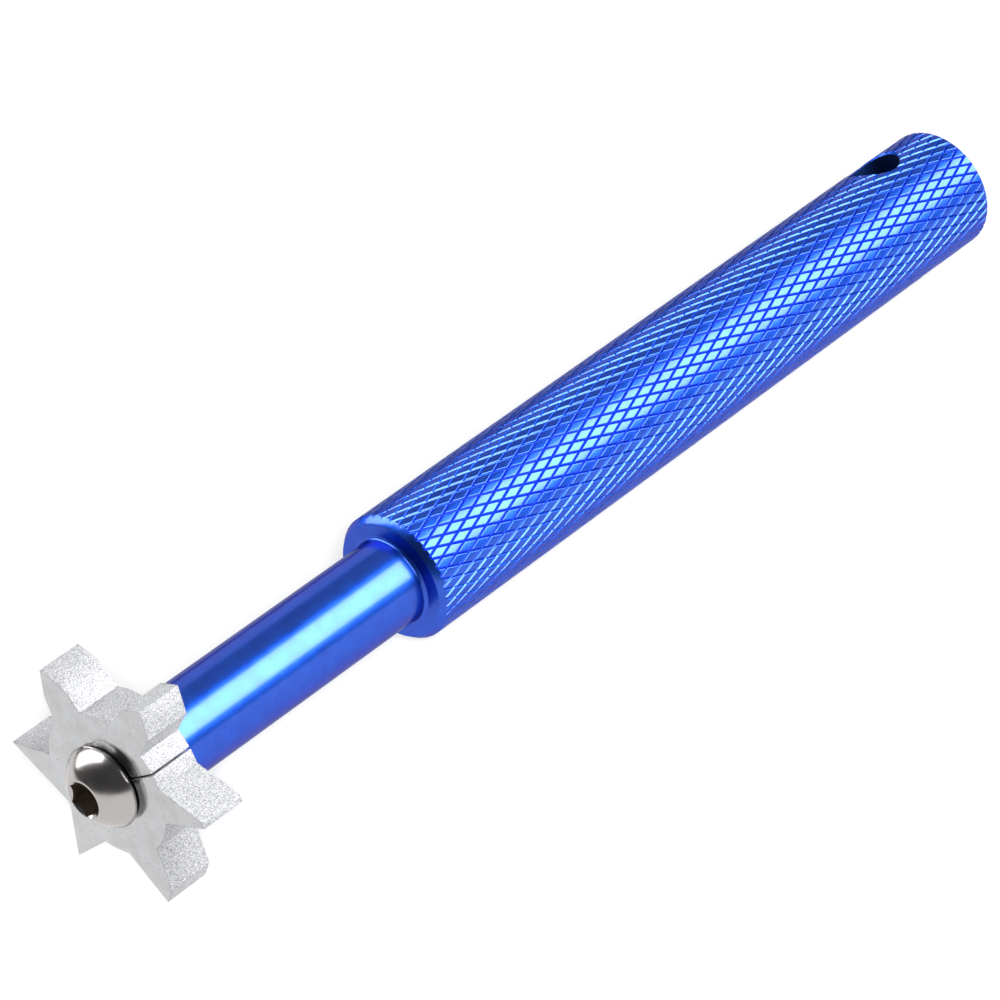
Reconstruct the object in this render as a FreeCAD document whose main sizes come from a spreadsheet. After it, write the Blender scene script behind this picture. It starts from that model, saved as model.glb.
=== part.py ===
import FreeCAD, Part
import os

import Sketcher

# A hand scraper with a six-tooth cutter.  Three pieces: a turned and knurled
# handle, a wire-cut steel cutter plate on its end, and the button-head screw
# that clamps the plate.
#
# Row frame: +X runs along the tool from the screw's head to the rear of the
# grip, +Z is up, and the tool lies on two of its teeth.  The origin is the
# middle of the bounding box, at its base.
#
# Each piece is drawn in the tool's own axis frame, where X = 0 is the front
# face of the cutter and the tool's axis is Y = Z = 0.  Its Placement then
# lifts it to its place in the row frame.

TOLERANCE = 1e-6

SIZES = [
    # cutter plate
    ("cutter_thickness", 6.0),
    ("hub_radius", 9.0),
    ("bore_diameter", 6.4),
    ("slit_width", 0.3),
    ("slit_angle", 148.0),
    # handle
    ("neck_diameter", 10.8),
    ("neck_length", 41.25),
    ("neck_fillet", 0.5),
    ("neck_end_bevel", 0.25),
    ("grip_diameter", 16.3),
    ("grip_length", 108.5),
    ("front_bevel_depth", 0.6),
    ("front_bevel_length", 0.85),
    ("rear_bevel", 0.3),
    ("tapped_hole_diameter", 6.1),
    ("tapped_hole_depth", 13.0),
    ("drill_point_length", 1.8),
    ("cross_hole_diameter", 7.2),
    ("cross_hole_from_rear", 10.0),
    ("cross_hole_tilt", 24.0),
    # M6 button-head screw
    ("screw_diameter", 6.0),
    ("screw_length", 16.0),
    ("head_diameter", 10.4),
    ("head_height", 3.6),
    ("head_rim_height", 0.65),
    ("head_seat_diameter", 9.4),
    ("head_crown_diameter", 4.9),
    ("socket_across_flats", 4.0),
    ("socket_depth", 2.4),
    ("socket_mouth_diameter", 4.6),
    ("socket_mouth_depth", 0.3),
    # height of the tool's axis above the surface that it rests on
    ("axis_height", 13.2),
]

# The six teeth, named by the hour where each one stands, seen from the screw's
# side.  Each corner is a radius and an angle, counter-clockwise from +Y towards
# +Z.  The first and last corners lie just inside the hub.
TEETH = {
    "eleven": [
        (8.8, 71.5), (11.3, 67.0), (12.65, 62.2), (14.65, 54.2), (11.8, 44.3), (9.85, 39.2), (8.8, 37.0),
    ],
    "nine": [(8.8, 360.0), (15.1, 356.2), (8.8, 318.0)],
    "seven": [(8.8, 319.5), (14.7, 296.1), (8.8, 279.0)],
    "five": [(8.8, 257.0), (15.2, 240.3), (13.85, 232.4), (8.8, 219.5)],
    "three": [(8.8, 189.3), (15.05, 177.1), (14.85, 174.2), (8.8, 159.0)],
    "one": [(8.8, 133.0), (12.35, 129.1), (14.75, 118.0), (12.9, 109.2), (9.4, 101.7), (8.8, 97.3)],
}

doc = FreeCAD.newDocument("scraper")
sheet = doc.addObject("Spreadsheet::Sheet", "Sizes")


def fill_sheet(values):
    """Write each value in its own row of the sheet, under its alias."""
    for row, (alias, value) in enumerate(values, start=1):
        sheet.set(f"A{row}", alias)
        sheet.set(f"B{row}", str(value))
        sheet.setAlias(f"B{row}", alias)


def tooth_values():
    """Name every tooth corner's radius and angle."""
    values = []
    for hour, corners in TEETH.items():
        for number, (radius, angle) in enumerate(corners, start=1):
            values.append((f"tooth_{hour}_radius{number}", radius))
            values.append((f"tooth_{hour}_angle{number}", angle))
    return values


fill_sheet(SIZES + tooth_values())
doc.recompute()


def number(expression):
    """The value that an expression has now, as a plain number."""
    return float(sheet.evalExpression(expression))


def bind(feature, **expressions):
    """Bind properties of a feature to the sheet."""
    for name, expression in expressions.items():
        feature.setExpression(name.replace("__", "."), expression)


def polar(radius, angle):
    """A point given by its radius and angle, as two expressions."""
    return f"{radius} * cos({angle} * 1deg)", f"{radius} * sin({angle} * 1deg)"


def new_body(label):
    body = doc.addObject("PartDesign::Body", label)
    body.Label = label
    return body


def new_sketch(body, name, plane):
    """A sketch on one of the body's own origin planes."""
    planes = {feature.Role: feature for feature in body.Origin.OriginFeatures}
    sketch = body.newObject("Sketcher::SketchObject", name)
    sketch.AttachmentSupport = [(planes[plane], "")]
    sketch.MapMode = "FlatFace"
    return sketch


def draw_outline(sketch, corners):
    """A closed outline of straight edges, with every corner bound to the sheet."""
    points = [FreeCAD.Vector(number(across), number(up), 0) for across, up in corners]
    count = len(points)
    for index in range(count):
        following = points[(index + 1) % count]
        sketch.addGeometry(Part.LineSegment(points[index], following))
    for index in range(count):
        sketch.addConstraint(Sketcher.Constraint("Coincident", index, 2, (index + 1) % count, 1))
    for index, (across, up) in enumerate(corners):
        for kind, value, expression in (
            ("DistanceX", points[index].x, across),
            ("DistanceY", points[index].y, up),
        ):
            constraint = sketch.addConstraint(Sketcher.Constraint(kind, -1, 1, index, 1, value))
            sketch.setExpression(f"Constraints[{constraint}]", expression)


def draw_circle(sketch, diameter, across="0"):
    """A circle whose centre is on the sketch's horizontal axis."""
    centre = FreeCAD.Vector(number(across), 0, 0)
    circle = Part.Circle(centre, FreeCAD.Vector(0, 0, 1), number(diameter) / 2)
    sketch.addGeometry(circle)
    size = sketch.addConstraint(Sketcher.Constraint("Diameter", 0, number(diameter)))
    sketch.setExpression(f"Constraints[{size}]", diameter)
    sketch.addConstraint(Sketcher.Constraint("PointOnObject", 0, 3, -1))
    place = sketch.addConstraint(Sketcher.Constraint("DistanceX", -1, 1, 0, 3, centre.x))
    sketch.setExpression(f"Constraints[{place}]", across)


def check_cut(body, before, name):
    """Stop if a cutting feature took nothing away."""
    doc.recompute()
    if body.Shape.Volume >= before - TOLERANCE:
        raise RuntimeError(f"{name} cuts nothing")


# ---- cutter plate ---------------------------------------------------------

def pad_cutter(body, sketch, name):
    pad = body.newObject("PartDesign::Pad", name)
    pad.Profile = sketch
    bind(pad, Length="Sizes.cutter_thickness")
    doc.recompute()


def cut_cutter(body, sketch, name):
    """Cut a sketch right through the plate, whose front face is the sketch's plane."""
    before = body.Shape.Volume
    pocket = body.newObject("PartDesign::Pocket", name)
    pocket.Profile = sketch
    pocket.Type = "ThroughAll"
    pocket.Reversed = True
    check_cut(body, before, name)


def make_cutter():
    body = new_body("cutter")
    hub = new_sketch(body, "hub_circle", "YZ_Plane")
    draw_circle(hub, "2 * Sizes.hub_radius")
    pad_cutter(body, hub, "hub")
    for hour, corners in TEETH.items():
        outline = new_sketch(body, f"tooth_{hour}_outline", "YZ_Plane")
        alias = f"Sizes.tooth_{hour}_"
        draw_outline(outline, [
            polar(f"{alias}radius{corner}", f"{alias}angle{corner}")
            for corner in range(1, len(corners) + 1)
        ])
        pad_cutter(body, outline, f"tooth_{hour}")
    bore = new_sketch(body, "bore_circle", "YZ_Plane")
    draw_circle(bore, "Sizes.bore_diameter")
    cut_cutter(body, bore, "bore")
    # The slit runs out along its angle from inside the bore to outside the hub.
    slit = new_sketch(body, "slit_outline", "YZ_Plane")
    inner = "(Sizes.bore_diameter / 2 - 1)"
    outer = "(Sizes.hub_radius + 1)"
    half = "Sizes.slit_width / 2"
    angle = "Sizes.slit_angle"
    corners = []
    for along, side in ((inner, "-"), (outer, "-"), (outer, "+"), (inner, "+")):
        other = "+" if side == "-" else "-"
        across, up = polar(along, angle)
        corners.append((
            f"{across} {other} {half} * sin({angle} * 1deg)",
            f"{up} {side} {half} * cos({angle} * 1deg)",
        ))
    draw_outline(slit, corners)
    cut_cutter(body, slit, "slit")
    return body


# ---- handle ---------------------------------------------------------------

NECK_FRONT = "Sizes.cutter_thickness"
GRIP_FRONT = f"({NECK_FRONT} + Sizes.neck_length)"
GRIP_REAR = f"({GRIP_FRONT} + Sizes.grip_length)"
NECK_RADIUS = "Sizes.neck_diameter / 2"
GRIP_RADIUS = "Sizes.grip_diameter / 2"


def circular_edge(shape, station, radius):
    """The name of the circular edge of that radius round the axis at X = station."""
    for index, edge in enumerate(shape.Edges, start=1):
        curve = edge.Curve
        if not isinstance(curve, Part.Circle):
            continue
        if abs(curve.Radius - radius) > TOLERANCE:
            continue
        if abs(curve.Center.x - station) < TOLERANCE:
            return f"Edge{index}"
    raise RuntimeError("no such edge")


def make_handle():
    body = new_body("handle")
    profile = new_sketch(body, "turned_profile", "XZ_Plane")
    draw_outline(profile, [
        (NECK_FRONT, "0"),
        (NECK_FRONT, f"{NECK_RADIUS} - Sizes.neck_end_bevel"),
        (f"{NECK_FRONT} + Sizes.neck_end_bevel", NECK_RADIUS),
        (GRIP_FRONT, NECK_RADIUS),
        (GRIP_FRONT, f"{GRIP_RADIUS} - Sizes.front_bevel_depth"),
        (f"{GRIP_FRONT} + Sizes.front_bevel_length", GRIP_RADIUS),
        (f"{GRIP_REAR} - Sizes.rear_bevel", GRIP_RADIUS),
        (GRIP_REAR, f"{GRIP_RADIUS} - Sizes.rear_bevel"),
        (GRIP_REAR, "0"),
    ])
    turned = body.newObject("PartDesign::Revolution", "turned_bar")
    turned.Profile = profile
    turned.ReferenceAxis = (profile, ["H_Axis"])
    turned.Angle = 360
    doc.recompute()

    before = body.Shape.Volume
    corner = circular_edge(turned.Shape, number(GRIP_FRONT), number(NECK_RADIUS))
    fillet = body.newObject("PartDesign::Fillet", "neck_root")
    fillet.Base = (turned, [corner])
    bind(fillet, Radius="Sizes.neck_fillet")
    doc.recompute()
    if body.Shape.Volume <= before:
        raise RuntimeError("the neck's root fillet adds nothing")

    # The tapped hole is blind and ends in the drill's point.
    before = body.Shape.Volume
    hole = new_sketch(body, "tapped_hole_profile", "XZ_Plane")
    wall = "Sizes.tapped_hole_diameter / 2"
    bottom = f"{NECK_FRONT} + Sizes.tapped_hole_depth"
    draw_outline(hole, [
        (NECK_FRONT, "0"),
        (NECK_FRONT, wall),
        (bottom, wall),
        (f"{bottom} + Sizes.drill_point_length", "0"),
    ])
    groove = body.newObject("PartDesign::Groove", "tapped_hole")
    groove.Profile = hole
    groove.ReferenceAxis = (hole, ["H_Axis"])
    groove.Angle = 360
    check_cut(body, before, "tapped_hole")

    # The cross hole passes right through the grip near its rear end.
    before = body.Shape.Volume
    cross = new_sketch(body, "cross_hole_circle", "XY_Plane")
    tilt = FreeCAD.Rotation(FreeCAD.Vector(1, 0, 0), -number("Sizes.cross_hole_tilt"))
    cross.AttachmentOffset = FreeCAD.Placement(FreeCAD.Vector(0, 0, 0), tilt)
    draw_circle(cross, "Sizes.cross_hole_diameter", f"{GRIP_REAR} - Sizes.cross_hole_from_rear")
    drilled = body.newObject("PartDesign::Pocket", "cross_hole")
    drilled.Profile = cross
    drilled.SideType = "Symmetric"
    bind(drilled, Length="2 * Sizes.grip_diameter")
    check_cut(body, before, "cross_hole")
    return body


# ---- screw ----------------------------------------------------------------

ALONG_AXIS = FreeCAD.Rotation(FreeCAD.Vector(0, 1, 0), 90)


def primitive(kind, name, station, **expressions):
    """A Part primitive that stands on the tool's axis and grows towards +X."""
    feature = doc.addObject(f"Part::{kind}", name)
    feature.Placement = FreeCAD.Placement(FreeCAD.Vector(0, 0, 0), ALONG_AXIS)
    bind(feature, Placement__Base__x=station, **expressions)
    return feature


def combine(kind, name, first, second):
    """A Part boolean of two features."""
    feature = doc.addObject(f"Part::{kind}", name)
    feature.Base = first
    feature.Tool = second
    return feature


def make_screw():
    head_radius = "Sizes.head_diameter / 2"
    crown_radius = "Sizes.head_crown_diameter / 2"
    # The dome is part of a sphere that passes through the head's rim and through
    # the edge of its flat crown.
    rise = "(Sizes.head_height - Sizes.head_rim_height)"
    squares = f"({head_radius})^2 + Sizes.head_rim_height^2 - ({crown_radius})^2 - Sizes.head_height^2"
    dome_centre = f"(({squares}) / (2 * {rise}))"
    dome_radius = f"sqrt(({head_radius})^2 + ({dome_centre} + Sizes.head_rim_height)^2)"
    drum = primitive(
        "Cylinder", "head_drum", "-Sizes.head_height", Radius=head_radius, Height=rise,
    )
    dome = primitive("Sphere", "head_dome", dome_centre, Radius=dome_radius)
    cap = combine("Common", "cap", drum, dome)
    # Under the rim the head tapers to the face that bears on the cutter.
    seat = primitive(
        "Cone", "head_seat", "-Sizes.head_rim_height",
        Radius1=head_radius, Radius2="Sizes.head_seat_diameter / 2", Height="Sizes.head_rim_height",
    )
    head = combine("Fuse", "head", cap, seat)
    shank = primitive(
        "Cylinder", "shank", "-Sizes.head_rim_height",
        Radius="Sizes.screw_diameter / 2", Height="Sizes.screw_length + Sizes.head_rim_height",
    )
    blank = combine("Fuse", "blank", head, shank)
    socket = primitive(
        "Prism", "socket", "-Sizes.head_height - 1",
        Circumradius="Sizes.socket_across_flats / 2 / cos(30deg)", Height="Sizes.socket_depth + 1",
    )
    socket.Polygon = 6
    mouth = primitive(
        "Cone", "socket_mouth", "-Sizes.head_height",
        Radius1="Sizes.socket_mouth_diameter / 2", Radius2="Sizes.socket_across_flats / 2",
        Height="Sizes.socket_mouth_depth",
    )
    recess = combine("Fuse", "recess", socket, mouth)
    screw = combine("Cut", "screw", blank, recess)
    screw.Label = "screw"
    return screw


# ---- assembly and export --------------------------------------------------

def place(piece):
    """Carry a piece from the tool's axis frame to the row frame."""
    bind(
        piece,
        Placement__Base__x=f"(Sizes.head_height - {GRIP_REAR}) / 2",
        Placement__Base__z="Sizes.axis_height",
    )


def check(document):
    """Stop if any object failed to build."""
    for item in document.Objects:
        if "Invalid" in item.State or "Error" in item.State:
            raise RuntimeError(f"{item.Label}: {item.State}")
        shape = getattr(item, "Shape", None)
        if shape is None or item.isDerivedFrom("Sketcher::SketchObject"):
            continue
        if item.isDerivedFrom("Part::Feature") and not item.isDerivedFrom("App::OriginFeature"):
            if shape.isNull() or not shape.isValid():
                raise RuntimeError(f"{item.Label}: bad shape")


pieces = [make_handle(), make_cutter(), make_screw()]
for piece in pieces:
    place(piece)
doc.recompute()
check(doc)

os.makedirs("parts", exist_ok=True)
for piece in pieces:
    if len(piece.Shape.Solids) != 1:
        raise RuntimeError(f"{piece.Label} is not one solid")
    piece.Shape.exportStep(f"parts/{piece.Label}.step")
    box = piece.Shape.BoundBox
    print(piece.Label, round(piece.Shape.Volume, 2), box)
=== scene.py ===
import math

import bmesh
import bpy
from mathutils import Matrix, Vector

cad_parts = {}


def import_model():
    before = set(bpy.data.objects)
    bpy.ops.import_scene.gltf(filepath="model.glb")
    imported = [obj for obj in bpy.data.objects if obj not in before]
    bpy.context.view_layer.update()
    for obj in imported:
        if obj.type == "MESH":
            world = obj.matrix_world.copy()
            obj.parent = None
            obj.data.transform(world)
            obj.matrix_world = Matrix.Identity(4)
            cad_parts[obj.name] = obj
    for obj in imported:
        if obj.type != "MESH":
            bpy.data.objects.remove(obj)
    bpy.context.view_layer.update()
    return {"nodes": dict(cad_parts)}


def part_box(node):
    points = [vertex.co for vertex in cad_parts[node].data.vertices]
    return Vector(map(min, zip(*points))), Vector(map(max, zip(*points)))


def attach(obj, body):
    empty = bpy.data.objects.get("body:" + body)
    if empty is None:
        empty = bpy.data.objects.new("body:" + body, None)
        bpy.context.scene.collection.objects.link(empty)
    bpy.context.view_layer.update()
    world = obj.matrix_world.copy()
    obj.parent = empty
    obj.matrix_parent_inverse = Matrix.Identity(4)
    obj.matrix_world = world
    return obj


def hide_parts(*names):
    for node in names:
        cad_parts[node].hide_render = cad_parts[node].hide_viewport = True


# A hand scraper: a knurled, blue anodised handle, a star-shaped steel cutter on
# its end, and the button-head screw that clamps the cutter.  Everything is made
# in millimetres in the tool's own axis frame, where X = 0 is the cutter's front
# face and the tool's axis is Y = Z = 0, and then carried to the CAD frame.

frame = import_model()

MM = 0.001

# ---- sizes read from the frame --------------------------------------------

cutter_low, cutter_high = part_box("cutter")
handle_low, handle_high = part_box("handle")
screw_low, screw_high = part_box("screw")

AXIS = Vector((cutter_low.x, 0.0, (screw_low.z + screw_high.z) / 2))
CUTTER_THICKNESS = (cutter_high.x - cutter_low.x) / MM
HANDLE_END = (handle_high.x - cutter_low.x) / MM
GRIP_RADIUS = (handle_high.y - handle_low.y) / 2 / MM
HEAD_RADIUS = (screw_high.y - screw_low.y) / 2 / MM
HEAD_HEIGHT = (cutter_low.x - screw_low.x) / MM
SCREW_END = (screw_high.x - cutter_low.x) / MM

# ---- sizes of the details, in millimetres ---------------------------------

NECK_RADIUS = 5.4
NECK_END_BEVEL = 0.25
NECK_FILLET = 0.5
GRIP_FRONT = 47.25
FRONT_BEVEL_DEPTH = 0.6
FRONT_BEVEL_LENGTH = 0.85
REAR_BEVEL = 0.3
EDGE_ROUND = 0.06
CUTTER_EDGE_ROUND = 0.13
TAPPED_RADIUS = 2.5
TAPPED_DEPTH = 13.0
TAPPED_MOUTH_BEVEL = 0.7
DRILL_POINT = 1.8
CROSS_RADIUS = 3.6
CROSS_STATION = HANDLE_END - 10.0
CROSS_TILT = math.radians(24)
CROSS_BEVEL = 0.25

KNURL_STARTS = 38
KNURL_PITCH = 3.92
KNURL_DEPTH = 0.18
KNURL_TURN = math.radians(1.37)
KNURL_SHIFT = 0.2
# Half a groove's section: how far from its middle, as a share of the spacing
# between grooves, and how deep there, as a share of the knurl's depth.
KNURL_SECTION = ((0.0, 1.0), (0.05, 0.7), (0.1, 0.16), (0.14, 0.0), (0.17, 0.0))

TURNED_STEPS = 8 * KNURL_STARTS
SCREW_STEPS = 192

THREAD_RADIUS = 2.98
THREAD_PITCH = 1.0
THREAD_DEPTH = 0.6134 * THREAD_PITCH
THREAD_PLAY = 0.06
HEAD_RIM = 0.65
HEAD_SEAT_RADIUS = 4.7
SEAT_SHADOW = 0.117
CROWN_RADIUS = 2.45
SOCKET_FLATS = 4.0
SOCKET_DEPTH = 2.4
SOCKET_MOUTH_RADIUS = 2.3
SOCKET_DRILL_RADIUS = SOCKET_FLATS / 2 - 0.05
SOCKET_DRILL_POINT = 0.6
POINT_BEVEL = 0.7


# ---- mesh helpers ----------------------------------------------------------

def to_frame(point):
    """A point in the tool's axis frame, in mm, as a place in the CAD frame."""
    return AXIS + Vector(point) * MM


def new_object(name, points, faces):
    mesh = bpy.data.meshes.new(name)
    mesh.from_pydata(points, [], faces)
    mesh.update()
    obj = bpy.data.objects.new(name, mesh)
    bpy.context.scene.collection.objects.link(obj)
    return obj


def arc(centre, radius, start, end, steps):
    """Points on an arc in the profile's plane, angles in degrees."""
    points = []
    for step in range(steps + 1):
        angle = math.radians(start + (end - start) * step / steps)
        points.append((centre[0] + radius * math.cos(angle), centre[1] + radius * math.sin(angle)))
    return points


def between(start, end, share):
    """The point some share of the way from start to end."""
    return tuple(a + (b - a) * share for a, b in zip(start, end))


def eased(start, corner, end, steps):
    """Points on a rounded corner."""
    points = []
    for step in range(steps + 1):
        share = step / steps
        points.append(between(between(start, corner, share), between(corner, end, share), share))
    return points


def revolve(name, profile, steps):
    """A closed solid turned from a profile of (station, radius) points.

    The profile starts and ends on the axis."""
    points = [(profile[0][0], 0.0, 0.0)]
    rings = profile[1:-1]
    for station, radius in rings:
        for step in range(steps):
            angle = 2 * math.pi * step / steps
            points.append((station, -radius * math.sin(angle), radius * math.cos(angle)))
    points.append((profile[-1][0], 0.0, 0.0))
    last = len(points) - 1
    faces = []
    for step in range(steps):
        following = (step + 1) % steps
        faces.append((0, 1 + step, 1 + following))
        for ring in range(len(rings) - 1):
            near = 1 + ring * steps
            far = near + steps
            faces.append((near + step, far + step, far + following, near + following))
        final = 1 + (len(rings) - 1) * steps
        faces.append((final + following, final + step, last))
    return new_object(name, points, faces)


def outward(obj):
    """Turn a closed mesh's faces outward."""
    work = bmesh.new()
    work.from_mesh(obj.data)
    bmesh.ops.recalc_face_normals(work, faces=work.faces)
    if work.calc_volume(signed=True) < 0:
        bmesh.ops.reverse_faces(work, faces=work.faces)
    work.to_mesh(obj.data)
    work.free()


def combine(base, tool, operation):
    """Apply a boolean to base, and delete the tool."""
    outward(base)
    outward(tool)
    modifier = base.modifiers.new("cut", "BOOLEAN")
    modifier.operation = operation
    modifier.solver = "MANIFOLD"
    modifier.object = tool
    graph = bpy.context.evaluated_depsgraph_get()
    result = bpy.data.meshes.new_from_object(base.evaluated_get(graph))
    base.modifiers.clear()
    base.data = result
    bpy.data.objects.remove(tool)


def paint(piece, names, choose):
    """Give each face the material that choose names for it."""
    piece.data.materials.clear()
    for name in names:
        piece.data.materials.append(materials[name])
    for polygon in piece.data.polygons:
        polygon.material_index = names.index(choose(polygon))


def finish_piece(piece, node, sharp_angle):
    """Each CAD node is a body of its own, with the same name."""
    piece.data.transform(Matrix.Translation(AXIS) @ Matrix.Scale(MM, 4))
    for polygon in piece.data.polygons:
        polygon.use_smooth = True
    piece.data.set_sharp_from_angle(angle=math.radians(sharp_angle))
    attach(piece, node)
    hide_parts(node)


# ---- handle ------------------------------------------------------------------

def knurl_shares():
    """Places across one spacing of the knurl, each with its depth."""
    rising = list(KNURL_SECTION)
    falling = [(1 - share, depth) for share, depth in reversed(KNURL_SECTION[1:])]
    return rising + [(0.5, 0.0)] + falling


def knurled_bar(start, end, core_radius, core_start):
    """A bar whose surface is crossed by two sets of helical grooves.

    The mesh follows the grooves: its two grid directions run along the
    right-hand and the left-hand helices.  A narrower core extends it forwards."""
    shares = knurl_shares()
    cells = len(shares)
    turn = KNURL_STARTS * cells
    first = math.floor(2 * start / KNURL_PITCH) - 2
    last = math.ceil(2 * end / KNURL_PITCH) + 2
    index = {}
    points = []

    def corner(across, along):
        """The vertex at one crossing of the grid, made once."""
        wraps = across // turn
        key = (across - wraps * turn, along - wraps * turn)
        if key not in index:
            share_a, depth_a = shares[key[0] % cells]
            share_b, depth_b = shares[key[1] % cells]
            one = key[0] // cells + share_a
            two = key[1] // cells + share_b
            angle = math.pi * (one + two) / KNURL_STARTS + KNURL_TURN
            station = KNURL_PITCH * (one - two) / 2 + KNURL_SHIFT
            radius = GRIP_RADIUS - max(depth_a, depth_b) * KNURL_DEPTH
            index[key] = len(points)
            points.append(
                (GRIP_FRONT + station, -radius * math.sin(angle), radius * math.cos(angle))
            )
        return index[key]

    faces = []
    for row in range(KNURL_STARTS):
        for column in range(row - last, row - first + 1):
            for a in range(cells):
                for b in range(cells):
                    across = row * cells + a
                    along = column * cells + b
                    quad = [
                        corner(across, along),
                        corner(across + 1, along),
                        corner(across + 1, along + 1),
                        corner(across, along + 1),
                    ]
                    # Each quad is split along the crease where two grooves cross.
                    if (a < cells // 2) == (b < cells // 2):
                        faces += [(quad[0], quad[1], quad[2]), (quad[0], quad[2], quad[3])]
                    else:
                        faces += [(quad[0], quad[1], quad[3]), (quad[1], quad[2], quad[3])]
    bar = new_object("knurled_bar", points, faces)
    close_ends(bar, core_radius, core_start)
    return bar


def close_ends(bar, core_radius, core_start):
    """Cap the knurled tube, and extend its front cap into a narrower core."""
    work = bmesh.new()
    work.from_mesh(bar.data)
    middle = sum(vert.co.x for vert in work.verts) / len(work.verts)
    rim = [edge for edge in work.edges if edge.is_boundary]
    for forward in (True, False):
        loop = [edge for edge in rim if (edge.verts[0].co.x < middle) == forward]
        limit = min if forward else max
        station = limit(vert.co.x for edge in loop for vert in edge.verts)
        steps = [(station, None)]
        if forward:
            steps += [(station, core_radius), (core_start, core_radius)]
        for place, radius in steps:
            made = bmesh.ops.extrude_edge_only(work, edges=loop)["geom"]
            for vert in (item for item in made if isinstance(item, bmesh.types.BMVert)):
                scale = 1.0 if radius is None else radius / math.hypot(vert.co.y, vert.co.z)
                vert.co = Vector((place, vert.co.y * scale, vert.co.z * scale))
            loop = [
                item for item in made if isinstance(item, bmesh.types.BMEdge) and item.is_boundary
            ]
        bmesh.ops.edgeloop_fill(work, edges=loop)
    work.to_mesh(bar.data)
    work.free()


def turned_profile():
    """The handle's profile, with the tapped hole, and clear of the knurl."""
    front = CUTTER_THICKNESS
    clear = 0.15
    bevel_slope = FRONT_BEVEL_DEPTH / FRONT_BEVEL_LENGTH
    face_radius = GRIP_RADIUS - FRONT_BEVEL_DEPTH
    profile = [(front + TAPPED_DEPTH + DRILL_POINT, 0.0), (front + TAPPED_DEPTH, TAPPED_RADIUS)]
    mouth = TAPPED_MOUTH_BEVEL
    profile += [(front + mouth, TAPPED_RADIUS), (front, TAPPED_RADIUS + mouth)]
    profile += [(front, NECK_RADIUS - NECK_END_BEVEL), (front + NECK_END_BEVEL, NECK_RADIUS)]
    centre = (GRIP_FRONT - NECK_FILLET, NECK_RADIUS + NECK_FILLET)
    profile += arc(centre, NECK_FILLET, -90, 0, 6)
    profile += arc((GRIP_FRONT + EDGE_ROUND, face_radius - EDGE_ROUND), EDGE_ROUND, 180, 145, 2)
    profile += [
        (GRIP_FRONT + FRONT_BEVEL_LENGTH + clear / bevel_slope, GRIP_RADIUS + clear),
        (HANDLE_END - REAR_BEVEL - clear, GRIP_RADIUS + clear),
        (HANDLE_END, GRIP_RADIUS - REAR_BEVEL),
        (HANDLE_END, 0.0),
    ]
    return profile


def cross_hole_tool():
    """A drill for the cross hole that also breaks its two saddle-shaped edges."""
    steps = 96
    reach = GRIP_RADIUS + 3
    rows = []
    for side in (-1, 1):
        section = (
            (CROSS_RADIUS, -CROSS_BEVEL),
            (CROSS_RADIUS + CROSS_BEVEL, 0.0),
            (CROSS_RADIUS + 3 * CROSS_BEVEL, 2 * CROSS_BEVEL),
        )
        rings = []
        for radius, rise in section:
            ring = []
            for step in range(steps):
                angle = 2 * math.pi * step / steps
                along = radius * math.cos(angle)
                sideways = radius * math.sin(angle)
                height = math.sqrt(GRIP_RADIUS ** 2 - sideways ** 2) + rise
                ring.append((along, sideways, side * height))
            rings.append(ring)
        rings.append([(x, y, side * reach) for x, y, _ in rings[-1]])
        rows += rings[::-1] if side < 0 else rings
    points = [point for ring in rows for point in ring]
    faces = [tuple(range(steps))]
    for ring in range(len(rows) - 1):
        near = ring * steps
        far = near + steps
        for step in range(steps):
            following = (step + 1) % steps
            faces.append((near + step, near + following, far + following, far + step))
    faces.append(tuple(range(len(points) - steps, len(points))))
    tool = new_object("cross_hole_tool", points, faces)
    tilt = Matrix.Rotation(-CROSS_TILT, 4, "X")
    tool.data.transform(Matrix.Translation((CROSS_STATION, 0, 0)) @ tilt)
    return tool


def handle_material(polygon):
    """The cross hole's wall is painted darker than the rest: painted shade inside the hole."""
    hole_axis = Vector((0, math.sin(CROSS_TILT), math.cos(CROSS_TILT)))
    offset = polygon.center - Vector((CROSS_STATION, 0, 0))
    distance = (offset - hole_axis * offset.dot(hole_axis)).length
    return "hole_shade_blue" if distance < CROSS_RADIUS + 0.02 else "anodised_blue"


def make_handle():
    handle = revolve("handle_bar", turned_profile(), TURNED_STEPS)
    length = HANDLE_END - GRIP_FRONT
    core = (NECK_RADIUS + NECK_FILLET + GRIP_RADIUS - FRONT_BEVEL_DEPTH) / 2
    combine(handle, knurled_bar(0.0, length, core, CUTTER_THICKNESS - 1), "INTERSECT")
    combine(handle, cross_hole_tool(), "DIFFERENCE")
    tap_end = CUTTER_THICKNESS + TAPPED_DEPTH - 1
    tap = threaded_bar("tap", CUTTER_THICKNESS - 2, tap_end, THREAD_PLAY)
    combine(handle, tap, "DIFFERENCE")
    paint(handle, ("anodised_blue", "hole_shade_blue"), handle_material)
    # This angle keeps the knurl's flats smooth and the front bevel's edge sharp.
    finish_piece(handle, "handle", sharp_angle=33)


# ---- cutter ------------------------------------------------------------------

def cutter_material(polygon):
    """Ground faces, wire-cut sides, and dark lines of painted shade where they meet."""
    facing = abs(polygon.normal.x)
    if facing > 0.99:
        return "ground_steel"
    # The eased edges get painted shade, a near-black line.
    return "cut_steel" if facing < 0.05 else "painted_shade_steel"


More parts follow.
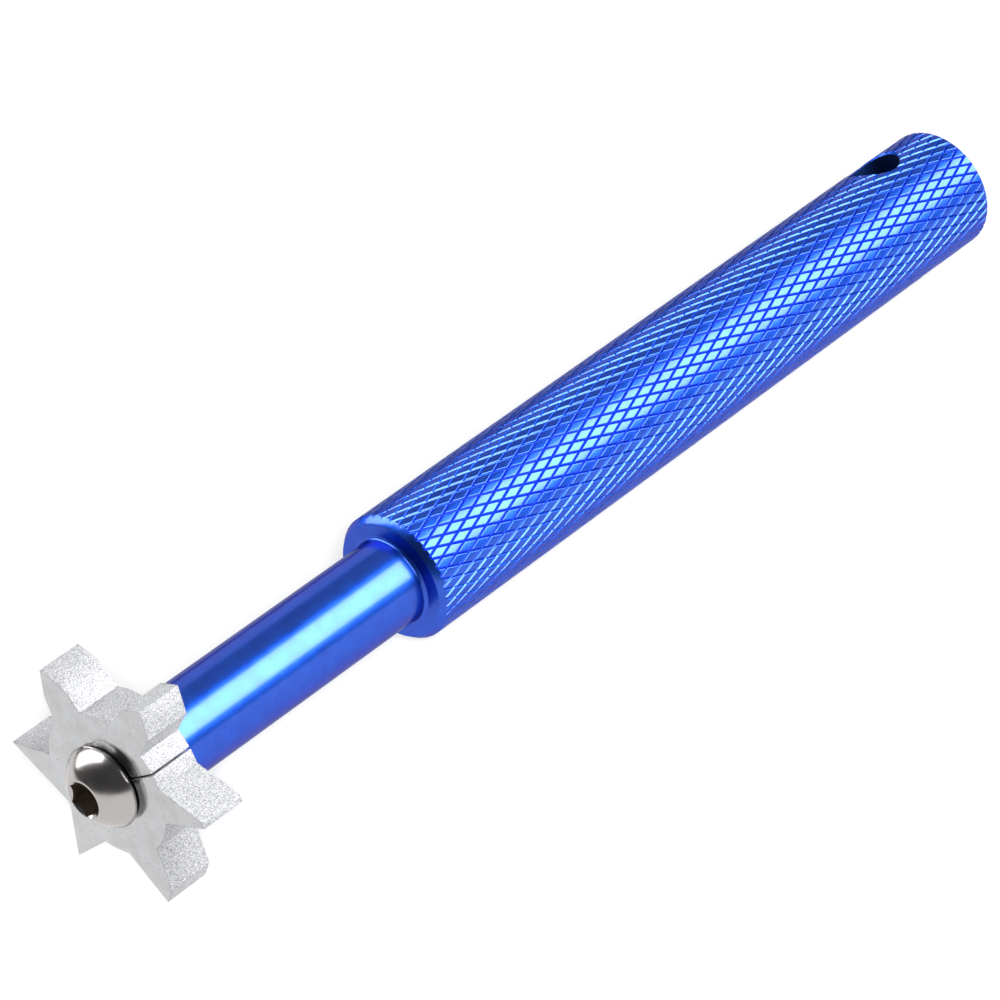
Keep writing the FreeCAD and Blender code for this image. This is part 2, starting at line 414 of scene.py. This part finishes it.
def make_cutter():
    """The cutter plate: the CAD outline with its edges eased."""
    mesh = frame["nodes"]["cutter"].data.copy()
    cutter = bpy.data.objects.new("cutter_plate", mesh)
    bpy.context.scene.collection.objects.link(cutter)
    mesh.transform(Matrix.Scale(1 / MM, 4) @ Matrix.Translation(-AXIS))
    work = bmesh.new()
    work.from_mesh(mesh)
    bmesh.ops.remove_doubles(work, verts=work.verts, dist=0.001)
    bmesh.ops.dissolve_limit(
        work, angle_limit=math.radians(0.5), verts=work.verts, edges=work.edges
    )
    corners = [
        edge for edge in work.edges
        if len(edge.link_faces) == 2 and edge.calc_face_angle() > math.radians(20)
    ]
    bmesh.ops.bevel(
        work, geom=corners, offset=CUTTER_EDGE_ROUND, segments=2, profile=0.5, affect="EDGES",
        clamp_overlap=True,
    )
    work.to_mesh(mesh)
    work.free()
    paint(cutter, ("ground_steel", "cut_steel", "painted_shade_steel"), cutter_material)
    finish_piece(cutter, "cutter", sharp_angle=35)


# ---- screw -------------------------------------------------------------------

def threaded_bar(name, start, end, swell):
    """A bar with a right-hand thread, whose mesh follows the helix.

    swell makes every radius larger, for the thread of a hole."""
    crest = THREAD_RADIUS + swell
    root = crest - THREAD_DEPTH
    # One pitch of the section: the share of the pitch, and the radius there.
    section = ((0.0, crest), (0.125, crest), (0.4375, root), (0.6875, root))
    steps = 72
    turns = math.ceil((end - start) / THREAD_PITCH) + 1
    points = []
    for turn in range(turns):
        for share, radius in section:
            for step in range(steps):
                angle = 2 * math.pi * step / steps
                station = start + THREAD_PITCH * (turn + share + step / steps - 1)
                points.append((station, -radius * math.sin(angle), radius * math.cos(angle)))
    rows = len(points) // steps
    faces = []
    per_turn = len(section)
    for row in range(rows - 1):
        for step in range(steps):
            near = row * steps + step
            far = near + steps
            if step < steps - 1:
                faces.append((near, far, far + 1, near + 1))
            elif row + per_turn + 1 < rows:
                # The last step of each turn meets the first step of the next.
                joined = (row + per_turn) * steps
                faces.append((near, far, joined + steps, joined))
    bar = new_object(name, points, faces)
    work = bmesh.new()
    work.from_mesh(bar.data)
    loose = [vert for vert in work.verts if not vert.link_faces]
    bmesh.ops.delete(work, geom=loose, context="VERTS")
    rim = [edge for edge in work.edges if edge.is_boundary]
    bmesh.ops.holes_fill(work, edges=rim, sides=0)
    bmesh.ops.triangulate(work, faces=[face for face in work.faces if len(face.verts) > 4])
    work.to_mesh(bar.data)
    work.free()
    return bar


def hexagon(across_flats, start, end):
    """A hexagonal prism along the axis, one corner upwards."""
    radius = across_flats / 2 / math.cos(math.radians(30))
    points = []
    for station in (start, end):
        for corner in range(6):
            angle = math.radians(60 * corner)
            points.append((station, -radius * math.sin(angle), radius * math.cos(angle)))
    faces = [tuple(range(6)), tuple(range(6, 12))]
    faces += [(side, (side + 1) % 6, (side + 1) % 6 + 6, side + 6) for side in range(6)]
    return new_object("hexagon", points, faces)


def head_profile():
    """The button head's section: crown, dome, rim and underside."""
    rise = HEAD_HEIGHT - HEAD_RIM
    squares = HEAD_RADIUS ** 2 + HEAD_RIM ** 2 - CROWN_RADIUS ** 2 - HEAD_HEIGHT ** 2
    centre = squares / (2 * rise)
    radius = math.hypot(HEAD_RADIUS, centre + HEAD_RIM)
    first = math.degrees(math.atan2(CROWN_RADIUS, -HEAD_HEIGHT - centre))
    last = math.degrees(math.atan2(HEAD_RADIUS, -HEAD_RIM - centre))
    core = THREAD_RADIUS - THREAD_DEPTH - 0.02
    dome = arc((centre, 0.0), radius, first, last, 32)
    seat = (0.0, HEAD_SEAT_RADIUS)
    profile = [(-HEAD_HEIGHT, 0.0), (-HEAD_HEIGHT, CROWN_RADIUS - 0.06)] + dome[:-3]
    # The rim is rounded into a taper, whose last part before the seat is dark: painted shade in
    # the crevice under the head.
    profile += eased(dome[-3], dome[-1], between(dome[-1], seat, 0.2), 5)
    profile += [between(dome[-1], seat, 1 - SEAT_SHADOW / HEAD_RIM)]
    profile += eased(between(dome[-1], seat, 0.9), seat, (0.0, HEAD_SEAT_RADIUS - 0.1), 2)
    # A short core under the head joins the threaded shank to it.
    profile += [(0.0, core + 0.3), (0.3, core), (2.0, core), (2.0, 0.0)]
    return profile


def shank_profile():
    """The envelope of the threaded shank, with a bevelled point."""
    outside = THREAD_RADIUS + 0.2
    return [
        (0.9, 0.0),
        (0.9, 2.3),
        (1.6, outside),
        (SCREW_END - POINT_BEVEL, outside),
        (SCREW_END, THREAD_RADIUS - POINT_BEVEL),
        (SCREW_END, 0.0),
    ]


def cut_socket(screw):
    """The bevelled mouth, the hexagon, and the drilled point at its bottom."""
    mouth_depth = 0.35
    socket_end = SOCKET_DEPTH - HEAD_HEIGHT
    mouth = revolve("mouth", [
        (-HEAD_HEIGHT - 0.5, 0.0),
        (-HEAD_HEIGHT - 0.5, SOCKET_MOUTH_RADIUS + 0.5),
        (-HEAD_HEIGHT + mouth_depth, SOCKET_MOUTH_RADIUS - mouth_depth),
        (-HEAD_HEIGHT + mouth_depth, 0.0),
    ], SCREW_STEPS // 2)
    drill = revolve("socket_drill", [
        (-HEAD_HEIGHT, 0.0),
        (-HEAD_HEIGHT, SOCKET_DRILL_RADIUS),
        (socket_end, SOCKET_DRILL_RADIUS),
        (socket_end + SOCKET_DRILL_POINT, 0.0),
    ], SCREW_STEPS // 2)
    combine(screw, mouth, "DIFFERENCE")
    combine(screw, hexagon(SOCKET_FLATS, -HEAD_HEIGHT - 1, socket_end), "DIFFERENCE")
    combine(screw, drill, "DIFFERENCE")


def screw_material(polygon):
    """Browner walls in the socket, and a line of painted shade where the head sits down."""
    station = polygon.center.x
    radius = math.hypot(polygon.center.y, polygon.center.z)
    in_head = -HEAD_HEIGHT + 0.01 < station < -0.01
    if in_head and radius < SOCKET_MOUTH_RADIUS + 0.01 and abs(polygon.normal.x) < 0.6:
        return "broached_steel"
    # Painted shade in the crevice where the head sits down.
    if station > -SEAT_SHADOW and radius > HEAD_SEAT_RADIUS - 0.2:
        return "painted_shade_steel"
    return "polished_stainless"


def make_screw():
    shank = revolve("shank", shank_profile(), 144)
    combine(shank, threaded_bar("thread", 0.0, SCREW_END + 1, 0.0), "INTERSECT")
    screw = revolve("button_screw", head_profile(), SCREW_STEPS)
    combine(screw, shank, "UNION")
    cut_socket(screw)
    paint(screw, ("polished_stainless", "broached_steel", "painted_shade_steel"), screw_material)
    finish_piece(screw, "screw", sharp_angle=32)


# ---- materials ---------------------------------------------------------------

def new_material(name, colour, metallic, roughness):
    """A material, with its node tree and its main shader."""
    material = bpy.data.materials.new(name)
    material.use_nodes = True
    shader = material.node_tree.nodes["Principled BSDF"]
    shader.inputs["Base Color"].default_value = (*colour, 1)
    shader.inputs["Metallic"].default_value = metallic
    shader.inputs["Roughness"].default_value = roughness
    return material, material.node_tree, shader


def add_node(tree, kind, settings=None, **inputs):
    """A node of one kind, with its settings and its unlinked inputs."""
    made = tree.nodes.new(kind)
    for name, value in (settings or {}).items():
        setattr(made, name, value)
    for name, value in inputs.items():
        made.inputs[name.replace("_", " ")].default_value = value
    return made


def noise(tree, scale, detail=3.0, roughness=0.5, stretch=(1, 1, 1)):
    """Noise of so many cells per millimetre, in the object's own space."""
    place = add_node(tree, "ShaderNodeTexCoord")
    mapping = add_node(tree, "ShaderNodeMapping", Scale=stretch)
    texture = add_node(
        tree, "ShaderNodeTexNoise", Scale=scale / MM, Detail=detail, Roughness=roughness
    )
    tree.links.new(place.outputs["Object"], mapping.inputs["Vector"])
    tree.links.new(mapping.outputs["Vector"], texture.inputs["Vector"])
    return texture.outputs["Fac"]


def spread(tree, source, low, high, start=0.3, end=0.7):
    """Map a noise onto a range."""
    made = add_node(
        tree, "ShaderNodeMapRange", From_Min=start, From_Max=end, To_Min=low, To_Max=high
    )
    tree.links.new(source, made.inputs["Value"])
    return made.outputs["Result"]


def bump(tree, shader, source, depth, strength=1.0, after=None):
    """Bump whose full height is depth millimetres."""
    made = add_node(tree, "ShaderNodeBump", Strength=strength, Distance=depth * MM)
    tree.links.new(source, made.inputs["Height"])
    if after is not None:
        tree.links.new(after.outputs["Normal"], made.inputs["Normal"])
    tree.links.new(made.outputs["Normal"], shader.inputs["Normal"])
    return made


def specks(tree, per_mm, size):
    """Small round marks: 1 inside a mark, 0 outside."""
    place = add_node(tree, "ShaderNodeTexCoord")
    cells = add_node(tree, "ShaderNodeTexVoronoi", Scale=per_mm / MM)
    tree.links.new(place.outputs["Object"], cells.inputs["Vector"])
    return spread(tree, cells.outputs["Distance"], 1.0, 0.0, size * 0.6, size)


def blend(tree, share, first, second):
    """A colour that goes from first to second as share goes from 0 to 1."""
    mix = add_node(tree, "ShaderNodeMix", {"data_type": "RGBA"})
    for socket, colour in (("A", first), ("B", second)):
        target = next(item for item in mix.inputs if item.name == socket and item.type == "RGBA")
        if isinstance(colour, tuple):
            target.default_value = (*colour, 1)
        else:
            tree.links.new(colour, target)
    factor = next(item for item in mix.inputs if item.name == "Factor" and item.type == "VALUE")
    tree.links.new(share, factor)
    return next(item for item in mix.outputs if item.type == "RGBA")


def anodised_blue():
    material, tree, shader = new_material("anodised_blue", (0.012, 0.08, 0.6), 1.0, 0.4)
    facing = add_node(tree, "ShaderNodeLayerWeight").outputs["Facing"]
    tree.links.new(spread(tree, facing, 0.9, 0.35, 0.2, 0.8), shader.inputs["Coat Weight"])
    shader.inputs["Coat Roughness"].default_value = 0.17
    shader.inputs["Coat IOR"].default_value = 1.45
    shader.inputs["Specular Tint"].default_value = (0.05, 0.12, 0.2, 1)
    bump(tree, shader, noise(tree, 7, detail=2), 0.006)
    tree.links.new(spread(tree, noise(tree, 0.25), 0.31, 0.38), shader.inputs["Roughness"])
    patches = spread(tree, noise(tree, 0.6), 0, 1)
    shade = blend(tree, patches, (0.01, 0.073, 0.54), (0.013, 0.094, 0.62))
    tree.links.new(shade, shader.inputs["Base Color"])
    return material


# A darker blue for the cross hole's wall: painted shade inside the hole.
def hole_shade_blue():
    material, tree, shader = new_material("hole_shade_blue", (0.006, 0.022, 0.1), 1.0, 0.6)
    bump(tree, shader, noise(tree, 3, detail=2, stretch=(1, 0.3, 1)), 0.02)
    tree.links.new(spread(tree, noise(tree, 1.5), 0.5, 0.7), shader.inputs["Roughness"])
    return material


def ground_steel():
    material, tree, shader = new_material("ground_steel", (0.54, 0.545, 0.55), 1.0, 0.2)
    lines = bump(tree, shader, noise(tree, 6, detail=3, stretch=(1, 0.05, 1.4)), 0.003)
    bump(tree, shader, noise(tree, 1.6, detail=4, roughness=0.7), 0.003, after=lines)
    tree.links.new(spread(tree, noise(tree, 0.5, detail=4), 0.1, 0.2), shader.inputs["Roughness"])
    stain = spread(tree, noise(tree, 0.45, detail=5, roughness=0.65), 0, 1, 0.4, 0.72)
    marks = specks(tree, 1.3, 0.11)
    colour = blend(tree, stain, (0.52, 0.525, 0.535), (0.45, 0.45, 0.455))
    tree.links.new(blend(tree, marks, colour, (0.2, 0.19, 0.18)), shader.inputs["Base Color"])
    return material


# Near-black steel: painted shade for the thin dark lines along the cutter's eased edges and in the
# crevice under the screw's head.
def painted_shade_steel():
    material, tree, shader = new_material("painted_shade_steel", (0.05, 0.05, 0.05), 1.0, 0.6)
    bump(tree, shader, noise(tree, 6, detail=2), 0.02)
    return material


def cut_steel():
    material, tree, shader = new_material("cut_steel", (0.55, 0.555, 0.57), 1.0, 0.68)
    bump(tree, shader, noise(tree, 7, detail=3, roughness=0.7), 0.08)
    pits = spread(tree, noise(tree, 6, detail=2, roughness=0.8), 0, 1, 0.36, 0.68)
    shade = blend(tree, pits, (0.72, 0.725, 0.74), (0.24, 0.245, 0.26))
    tree.links.new(shade, shader.inputs["Base Color"])
    return material


def polished_stainless():
    material, tree, shader = new_material("polished_stainless", (0.46, 0.44, 0.43), 1.0, 0.25)
    bump(tree, shader, noise(tree, 3, detail=2), 0.002)
    tree.links.new(spread(tree, noise(tree, 0.4), 0.2, 0.28), shader.inputs["Roughness"])
    return material


def broached_steel():
    material, tree, shader = new_material("broached_steel", (0.28, 0.23, 0.19), 1.0, 0.4)
    bump(tree, shader, noise(tree, 5, detail=2, stretch=(0.2, 1, 1)), 0.01)
    tree.links.new(spread(tree, noise(tree, 2), 0.3, 0.5), shader.inputs["Roughness"])
    return material


def floor_white():
    material, _, shader = new_material("floor_white", (0.2, 0.2, 0.2), 0.0, 0.9)
    shader.inputs["Emission Color"].default_value = (1, 1, 1, 1)
    shader.inputs["Emission Strength"].default_value = 0.66
    return material


materials = {
    make.__name__: make()
    for make in (
        anodised_blue, hole_shade_blue, ground_steel, cut_steel, painted_shade_steel, polished_stainless,
        broached_steel, floor_white,
    )
}


# ---- stage, lights and camera -------------------------------------------------

def camera():
    """A long lens, in front of the cutter, to its side and above."""
    data = bpy.data.cameras.new("camera")
    data.sensor_width = 36
    data.lens = 159.93
    data.clip_start = 0.01
    obj = bpy.data.objects.new("camera", data)
    place = to_frame((-253.5, -296.7, 300.2))
    right = Vector((0.6475, -0.7598, -0.0599)).normalized()
    up = Vector((0.4636, 0.3302, 0.822)).normalized()
    turn = Matrix((right, up, right.cross(up))).transposed().to_4x4()
    obj.matrix_world = Matrix.Translation(place) @ turn
    bpy.context.scene.collection.objects.link(obj)
    bpy.context.scene.camera = obj


def floor():
    """A pale plane that touches the teeth and the grip's rear edge."""
    rise = (AXIS.z / MM - GRIP_RADIUS) / (HANDLE_END - CUTTER_THICKNESS)
    size = 2500.0
    points = []
    for x, y in ((-1, -1), (1, -1), (1, 1), (-1, 1)):
        height = rise * x * size - AXIS.z / MM
        points.append(to_frame((x * size + CUTTER_THICKNESS, y * size, height)))
    plane = new_object("floor", points, [(0, 1, 2, 3)])
    plane.data.materials.append(materials["floor_white"])


def area_light(name, place, target, width, height, radiance):
    """A rectangular softbox, in millimetres, whose face has the given radiance."""
    data = bpy.data.lights.new(name, "AREA")
    data.shape = "RECTANGLE"
    data.size = width * MM
    data.size_y = height * MM
    data.energy = radiance * math.pi * data.size * data.size_y
    obj = bpy.data.objects.new(name, data)
    stand = to_frame(place)
    aim = (to_frame(target) - stand).normalized()
    across = Vector((1, 0, 0)).cross(aim).normalized()
    along = aim.cross(across)
    turn = Matrix((along, across, -aim)).transposed().to_4x4()
    obj.matrix_world = Matrix.Translation(stand) @ turn
    bpy.context.scene.collection.objects.link(obj)
    return obj


def world(strength):
    data = bpy.data.worlds.new("studio")
    data.use_nodes = True
    background = data.node_tree.nodes["Background"]
    background.inputs["Color"].default_value = (1, 1, 1, 1)
    background.inputs["Strength"].default_value = strength
    bpy.context.scene.world = data


def ring_place(elevation, distance, station):
    """A place round the tool's axis: an elevation on the near side, and a distance."""
    angle = math.radians(elevation)
    return (station, -distance * math.cos(angle), distance * math.sin(angle))


make_handle()
make_cutter()
make_screw()
camera()
floor()
world(0.06)
# The key draws the long highlight down the handle, and the rear softbox the bright
# patch on the screw's head.  The ceiling and the rear wall lighten the handle's far
# side.  None of these reaches the floor, which a frontal light of its own whitens.
metal_lights = (
    area_light("key", ring_place(47.5, 500, 440), (440, 0, 0), 760, 440, 10),
    area_light("rear softbox", (-180, 414, 396), (0, 0, 0), 250, 760, 6),
    area_light("ceiling", ring_place(110, 900, 900), (900, 0, 0), 1500, 640, 0.35),
    area_light("rear wall", ring_place(151, 900, 900), (900, 0, 0), 1500, 640, 1.0),
)
for light in metal_lights:
    light.visible_diffuse = False
floor_light = area_light("floor light", (-2060, -2400, 2440), (0, 0, 0), 700, 700, 320)
floor_light.visible_glossy = False
bpy.context.scene.view_settings.view_transform = "Standard"
